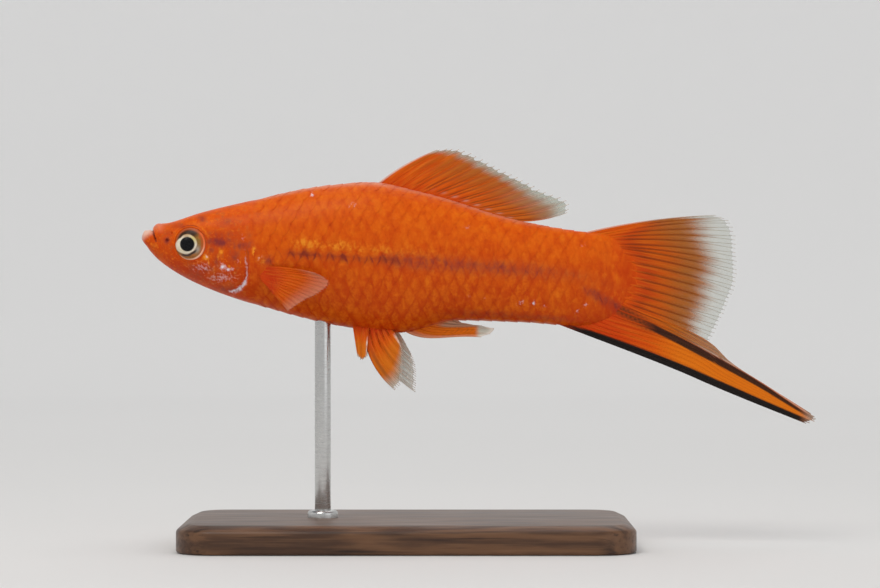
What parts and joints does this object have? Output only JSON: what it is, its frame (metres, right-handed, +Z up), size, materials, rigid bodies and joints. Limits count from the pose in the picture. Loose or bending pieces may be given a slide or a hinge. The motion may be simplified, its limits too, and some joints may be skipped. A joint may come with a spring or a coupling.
{
  "type": "male red swordtail fish model on display stand",
  "caption": "Life-size still model of a red swordtail swimming level, with raised back fin, fan tail and long lower tail sword, held on one rod over a flat base.",
  "frame": {"origin": "middle of the whole model's box, at the underside of the stand's base", "axes": "+Z up; +X towards the tail, the fish's nose points to -X; -Y is the fish's left side"},
  "size_m": [0.0842, 0.032, 0.0495],
  "materials": {
    "skin": "glossy orange-red scaled skin with a dusky red line along each side and silvery lilac on the gill covers",
    "fin": "translucent orange membrane over branching rays, clear at its margin",
    "sword": "orange band between a wide black lower edge and a thin black upper line",
    "eye": "wet gloss over a pale gold iris and a black pupil",
    "wood": "satin dark hardwood",
    "steel": "polished rod"
  },
  "bodies": {
    "root": {"head": "skin", "lower_jaw": "skin", "trunk": "skin", "tail_stalk": "skin", "gill_cover_left": "skin", "gill_cover_right": "skin", "eye_left": "eye", "eye_right": "eye", "dorsal_fin": "fin", "caudal_fin": "fin", "pectoral_fin_left": "fin", "pectoral_fin_right": "fin", "pelvic_fin_left": "fin", "pelvic_fin_right": "fin", "gonopodium": "fin", "sword": "sword", "stand_base": "wood", "stand_rod": "steel"}
  },
  "joints": []
}
